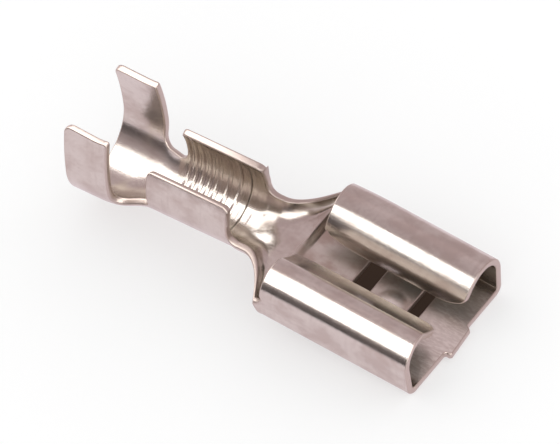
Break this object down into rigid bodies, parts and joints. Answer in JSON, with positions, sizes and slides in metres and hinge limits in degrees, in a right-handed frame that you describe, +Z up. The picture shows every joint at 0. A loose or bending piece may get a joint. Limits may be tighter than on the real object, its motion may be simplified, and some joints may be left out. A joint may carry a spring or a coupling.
{
  "type": "female spade terminal",
  "caption": "Uninsulated crimp terminal of folded tinned brass sheet: a rolled-edge receptacle for a flat tab, a waisted neck, a wire crimp and an insulation crimp.",
  "frame": {"origin": "on the axis of the wire crimp, at the edge where its walls end and the neck begins", "axes": "+X along the wire crimp's axis towards the receptacle's mouth, +Y across the strip, +Z up out of the open side of the crimps"},
  "size_m": [0.0199, 0.0076, 0.006],
  "materials": {
    "tinned_brass": "bright tin plate over brass"
  },
  "bodies": {
    "root": {"spade_terminal": "tinned_brass"}
  },
  "joints": []
}
